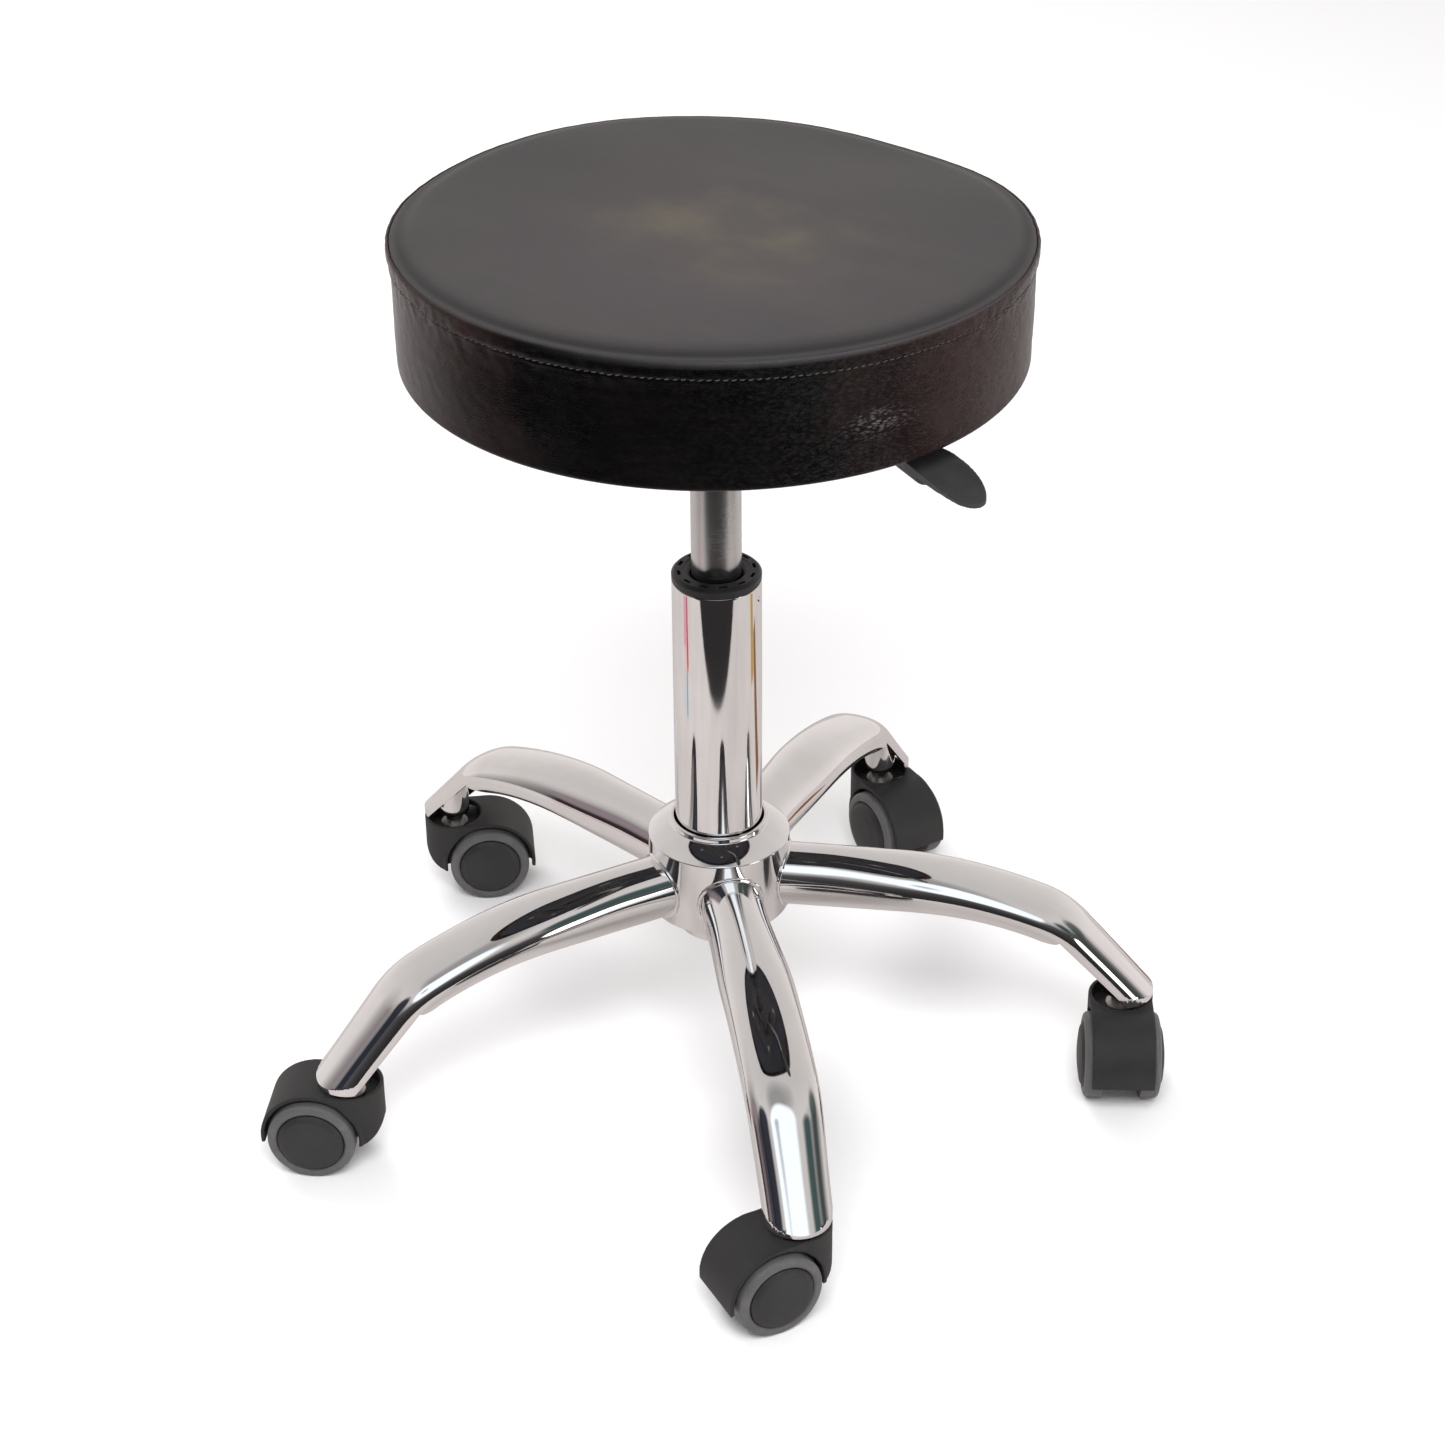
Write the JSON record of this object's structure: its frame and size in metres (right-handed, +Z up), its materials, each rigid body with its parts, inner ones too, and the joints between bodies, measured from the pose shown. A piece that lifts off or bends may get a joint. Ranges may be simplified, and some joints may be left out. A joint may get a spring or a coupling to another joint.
{
  "type": "swivel stool",
  "caption": "Adjustable swivel stool: round padded vinyl seat on a gas lift with a release lever, chromed five-leg tube base, twin-wheel swivel casters.",
  "frame": {"origin": "on the floor under the lift column's axis", "axes": "+Z up along the column; the release lever's rod leaves the column along +X"},
  "size_m": [0.5052, 0.5076, 0.5265],
  "materials": {
    "polished_chrome": "mirror polished",
    "satin_chrome": "satin, ground round",
    "steel": "plain zinc",
    "black_steel": "satin black powder coat",
    "black_plastic": "fine moulded grain",
    "hood_plastic": "matt moulded",
    "cap_plastic": "satin moulded",
    "grey_tread": "smooth, slightly glossy",
    "black_rubber": "matt",
    "top_vinyl": "worn matt vinyl, fine grain",
    "band_vinyl": "satin pebbled vinyl",
    "thread": "waxed polyester sewing thread",
    "foam": "open-cell foam",
    "plywood": "stained blue-black"
  },
  "bodies": {
    "base": {"base_hub": "polished_chrome", "lift_column": "polished_chrome", "guide_bush": "black_plastic", "thrust_bearing": "steel", "leg_1": "polished_chrome", "leg_2": "polished_chrome", "leg_3": "polished_chrome", "leg_4": "polished_chrome", "leg_5": "polished_chrome", "caster_stem_1": "steel", "caster_stem_2": "steel", "caster_stem_3": "steel", "caster_stem_4": "steel", "caster_stem_5": "steel"},
    "gas_rod": {"piston_rod": "steel", "retaining_clip": "steel", "bump_stop": "black_rubber"},
    "seat": {"gas_cylinder": "satin_chrome", "seat_plate": "black_steel", "seat_board": "plywood", "seat_foam": "foam", "seat_top": "top_vinyl", "seat_band": "band_vinyl", "plate_bolt_1": "steel", "plate_bolt_2": "steel", "plate_bolt_3": "steel", "plate_bolt_4": "steel"},
    "lever": {"lever_rod": "steel", "lever_paddle": "black_plastic"},
    "button": {"release_button": "steel"},
    "caster_1": {"caster_hood_1": "hood_plastic", "caster_axle_1": "steel"},
    "wheel_left_1": {"wheel_left_1": "cap_plastic", "tread_left_1": "grey_tread"},
    "wheel_right_1": {"wheel_right_1": "cap_plastic", "tread_right_1": "grey_tread"},
    "caster_2": {"caster_hood_2": "hood_plastic", "caster_axle_2": "steel"},
    "wheel_left_2": {"wheel_left_2": "cap_plastic", "tread_left_2": "grey_tread"},
    "wheel_right_2": {"wheel_right_2": "cap_plastic", "tread_right_2": "grey_tread"},
    "caster_3": {"caster_hood_3": "hood_plastic", "caster_axle_3": "steel"},
    "wheel_left_3": {"wheel_left_3": "cap_plastic", "tread_left_3": "grey_tread"},
    "wheel_right_3": {"wheel_right_3": "cap_plastic", "tread_right_3": "grey_tread"},
    "caster_4": {"caster_hood_4": "hood_plastic", "caster_axle_4": "steel"},
    "wheel_left_4": {"wheel_left_4": "cap_plastic", "tread_left_4": "grey_tread"},
    "wheel_right_4": {"wheel_right_4": "cap_plastic", "tread_right_4": "grey_tread"},
    "caster_5": {"caster_hood_5": "hood_plastic", "caster_axle_5": "steel"},
    "wheel_left_5": {"wheel_left_5": "cap_plastic", "tread_left_5": "grey_tread"},
    "wheel_right_5": {"wheel_right_5": "cap_plastic", "tread_right_5": "grey_tread"}
  },
  "joints": [
    {"name": "seat_swivel", "type": "hinge", "parent": "base", "child": "gas_rod", "pos_m": [0, 0, 0.0966], "axis": [0, 0, 1], "continuous": true},
    {"name": "seat_height", "type": "slide", "parent": "gas_rod", "child": "seat", "axis": [0, 0, 1], "range_m": [-0.08, 0.02]},
    {"name": "lever_tilt", "type": "hinge", "parent": "seat", "child": "lever", "pos_m": [0.05, 0, 0.4475], "axis": [0, -1, 0], "range_deg": [0, 3.4], "stiffness_Nm_per_rad": 1.5, "springref_deg": -5.73},
    {"name": "button_press", "type": "slide", "parent": "seat", "child": "button", "axis": [0, 0, -1], "range_m": [0, 0.0032], "stiffness_N_per_m": 500, "springref_m": -0.0005},
    {"name": "caster_swivel_1", "type": "hinge", "parent": "base", "child": "caster_1", "pos_m": [0.17027, -0.16443, 0.046], "axis": [0, 0, 1], "continuous": true},
    {"name": "wheel_roll_left_1", "type": "hinge", "parent": "caster_1", "child": "wheel_left_1", "pos_m": [0.16119, -0.18303, 0.025], "axis": [0.8988, -0.4384, 0], "continuous": true},
    {"name": "wheel_roll_right_1", "type": "hinge", "parent": "caster_1", "child": "wheel_right_1", "pos_m": [0.16119, -0.18303, 0.025], "axis": [0.8988, -0.4384, 0], "continuous": true},
    {"name": "caster_swivel_2", "type": "hinge", "parent": "base", "child": "caster_2", "pos_m": [0.20899, 0.11112, 0.046], "axis": [0, 0, 1], "continuous": true},
    {"name": "wheel_roll_left_2", "type": "hinge", "parent": "caster_2", "child": "wheel_left_2", "pos_m": [0.22057, 0.09396, 0.025], "axis": [0.829, 0.5592, 0], "continuous": true},
    {"name": "wheel_roll_right_2", "type": "hinge", "parent": "caster_2", "child": "wheel_right_2", "pos_m": [0.22057, 0.09396, 0.025], "axis": [0.829, 0.5592, 0], "continuous": true},
    {"name": "caster_swivel_3", "type": "hinge", "parent": "base", "child": "caster_3", "pos_m": [-0.0411, 0.2331, 0.046], "axis": [0, 0, 1], "continuous": true},
    {"name": "wheel_roll_left_3", "type": "hinge", "parent": "caster_3", "child": "wheel_left_3", "pos_m": [-0.02219, 0.22468, 0.025], "axis": [0.4067, 0.9135, 0], "continuous": true},
    {"name": "wheel_roll_right_3", "type": "hinge", "parent": "caster_3", "child": "wheel_right_3", "pos_m": [-0.02219, 0.22468, 0.025], "axis": [0.4067, 0.9135, 0], "continuous": true},
    {"name": "caster_swivel_4", "type": "hinge", "parent": "base", "child": "caster_4", "pos_m": [-0.2344, 0.03294, 0.046], "axis": [0, 0, 1], "continuous": true},
    {"name": "wheel_roll_left_4", "type": "hinge", "parent": "caster_4", "child": "wheel_left_4", "pos_m": [-0.21901, 0.04679, 0.025], "axis": [-0.6691, 0.7431, 0], "continuous": true},
    {"name": "wheel_roll_right_4", "type": "hinge", "parent": "caster_4", "child": "wheel_right_4", "pos_m": [-0.21901, 0.04679, 0.025], "axis": [-0.6691, 0.7431, 0], "continuous": true},
    {"name": "caster_swivel_5", "type": "hinge", "parent": "base", "child": "caster_5", "pos_m": [-0.10376, -0.21274, 0.046], "axis": [0, 0, 1], "continuous": true},
    {"name": "wheel_roll_left_5", "type": "hinge", "parent": "caster_5", "child": "wheel_left_5", "pos_m": [-0.12151, -0.22341, 0.025], "axis": [0.515, -0.8572, 0], "continuous": true},
    {"name": "wheel_roll_right_5", "type": "hinge", "parent": "caster_5", "child": "wheel_right_5", "pos_m": [-0.12151, -0.22341, 0.025], "axis": [0.515, -0.8572, 0], "continuous": true}
  ],
  "couplings": [
    {"joint": "button_press", "follows": "lever_tilt", "m_per_rad": 0.0505}
  ]
}
